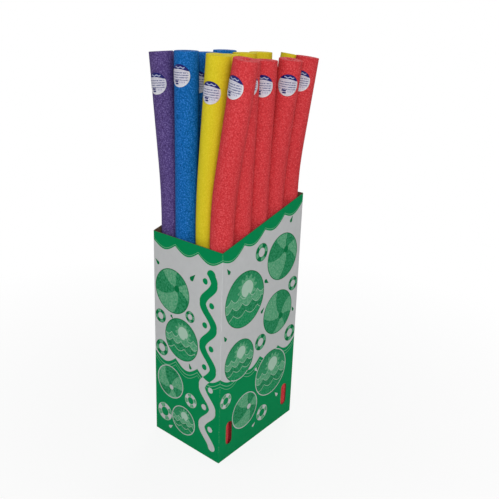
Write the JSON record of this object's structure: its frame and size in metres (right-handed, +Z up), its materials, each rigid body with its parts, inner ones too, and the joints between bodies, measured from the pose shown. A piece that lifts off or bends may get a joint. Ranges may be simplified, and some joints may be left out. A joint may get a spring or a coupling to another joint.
{
  "type": "pool noodle display",
  "caption": "Tall open carton, higher at the back, holding upright foam pool noodles that lift out.",
  "frame": {"origin": "middle of the carton's underside, on the surface that it stands on", "axes": "+Z up along the noodles, -Y out of the short front panel, +X towards the right side panel seen from the front"},
  "size_m": [0.3606, 0.3867, 1.1371],
  "materials": {
    "printed_board": "matte",
    "purple_foam": "matte",
    "blue_foam": "matte",
    "yellow_foam": "matte",
    "red_foam": "matte",
    "label_film": "satin"
  },
  "bodies": {
    "carton": {"carton_front_panel": "printed_board", "carton_back_panel": "printed_board", "carton_left_panel": "printed_board", "carton_right_panel": "printed_board", "carton_glue_flap": "printed_board", "carton_front_flap": "printed_board", "carton_back_flap": "printed_board", "carton_left_flap": "printed_board", "carton_right_flap": "printed_board"},
    "purple_1": {"noodle_purple_1": "purple_foam", "label_purple_1": "label_film"},
    "purple_2": {"noodle_purple_2": "purple_foam", "label_purple_2": "label_film"},
    "purple_3": {"noodle_purple_3": "purple_foam", "label_purple_3": "label_film"},
    "purple_4": {"noodle_purple_4": "purple_foam", "label_purple_4": "label_film"},
    "purple_5": {"noodle_purple_5": "purple_foam", "label_purple_5": "label_film"},
    "blue_1": {"noodle_blue_1": "blue_foam", "label_blue_1": "label_film"},
    "blue_2": {"noodle_blue_2": "blue_foam", "label_blue_2": "label_film"},
    "blue_3": {"noodle_blue_3": "blue_foam", "label_blue_3": "label_film"},
    "blue_4": {"noodle_blue_4": "blue_foam", "label_blue_4": "label_film"},
    "blue_5": {"noodle_blue_5": "blue_foam", "label_blue_5": "label_film"},
    "yellow_1": {"noodle_yellow_1": "yellow_foam", "label_yellow_1": "label_film"},
    "yellow_2": {"noodle_yellow_2": "yellow_foam", "label_yellow_2": "label_film"},
    "yellow_3": {"noodle_yellow_3": "yellow_foam", "label_yellow_3": "label_film"},
    "yellow_4": {"noodle_yellow_4": "yellow_foam", "label_yellow_4": "label_film"},
    "yellow_5": {"noodle_yellow_5": "yellow_foam", "label_yellow_5": "label_film"},
    "red_1": {"noodle_red_1": "red_foam", "label_red_1": "label_film"},
    "red_2": {"noodle_red_2": "red_foam", "label_red_2": "label_film"},
    "red_3": {"noodle_red_3": "red_foam", "label_red_3": "label_film"},
    "red_4": {"noodle_red_4": "red_foam", "label_red_4": "label_film"},
    "red_5": {"noodle_red_5": "red_foam", "label_red_5": "label_film"}
  },
  "joints": [
    {"name": "lift_purple_1", "type": "slide", "parent": "carton", "child": "purple_1", "axis": [0, 0, 1], "range_m": [0, 1.15]},
    {"name": "lift_purple_2", "type": "slide", "parent": "carton", "child": "purple_2", "axis": [0, 0, 1], "range_m": [0, 1.15]},
    {"name": "lift_purple_3", "type": "slide", "parent": "carton", "child": "purple_3", "axis": [0, 0, 1], "range_m": [0, 1.15]},
    {"name": "lift_purple_4", "type": "slide", "parent": "carton", "child": "purple_4", "axis": [0, 0, 1], "range_m": [0, 1.15]},
    {"name": "lift_purple_5", "type": "slide", "parent": "carton", "child": "purple_5", "axis": [0, 0, 1], "range_m": [0, 1.15]},
    {"name": "lift_blue_1", "type": "slide", "parent": "carton", "child": "blue_1", "axis": [0, 0, 1], "range_m": [0, 1.15]},
    {"name": "lift_blue_2", "type": "slide", "parent": "carton", "child": "blue_2", "axis": [0, 0, 1], "range_m": [0, 1.15]},
    {"name": "lift_blue_3", "type": "slide", "parent": "carton", "child": "blue_3", "axis": [0, 0, 1], "range_m": [0, 1.15]},
    {"name": "lift_blue_4", "type": "slide", "parent": "carton", "child": "blue_4", "axis": [0, 0, 1], "range_m": [0, 1.15]},
    {"name": "lift_blue_5", "type": "slide", "parent": "carton", "child": "blue_5", "axis": [0, 0, 1], "range_m": [0, 1.15]},
    {"name": "lift_yellow_1", "type": "slide", "parent": "carton", "child": "yellow_1", "axis": [0, 0, 1], "range_m": [0, 1.15]},
    {"name": "lift_yellow_2", "type": "slide", "parent": "carton", "child": "yellow_2", "axis": [0, 0, 1], "range_m": [0, 1.15]},
    {"name": "lift_yellow_3", "type": "slide", "parent": "carton", "child": "yellow_3", "axis": [0, 0, 1], "range_m": [0, 1.15]},
    {"name": "lift_yellow_4", "type": "slide", "parent": "carton", "child": "yellow_4", "axis": [0, 0, 1], "range_m": [0, 1.15]},
    {"name": "lift_yellow_5", "type": "slide", "parent": "carton", "child": "yellow_5", "axis": [0, 0, 1], "range_m": [0, 1.15]},
    {"name": "lift_red_1", "type": "slide", "parent": "carton", "child": "red_1", "axis": [0, 0, 1], "range_m": [0, 1.15], "deforming": ["noodle_red_1", "label_red_1"]},
    {"name": "lift_red_2", "type": "slide", "parent": "carton", "child": "red_2", "axis": [0, 0, 1], "range_m": [0, 1.15]},
    {"name": "lift_red_3", "type": "slide", "parent": "carton", "child": "red_3", "axis": [0, 0, 1], "range_m": [0, 1.15]},
    {"name": "lift_red_4", "type": "slide", "parent": "carton", "child": "red_4", "axis": [0, 0, 1], "range_m": [0, 1.15]},
    {"name": "lift_red_5", "type": "slide", "parent": "carton", "child": "red_5", "axis": [0, 0, 1], "range_m": [0, 1.15], "deforming": ["noodle_red_5", "label_red_5"]}
  ]
}
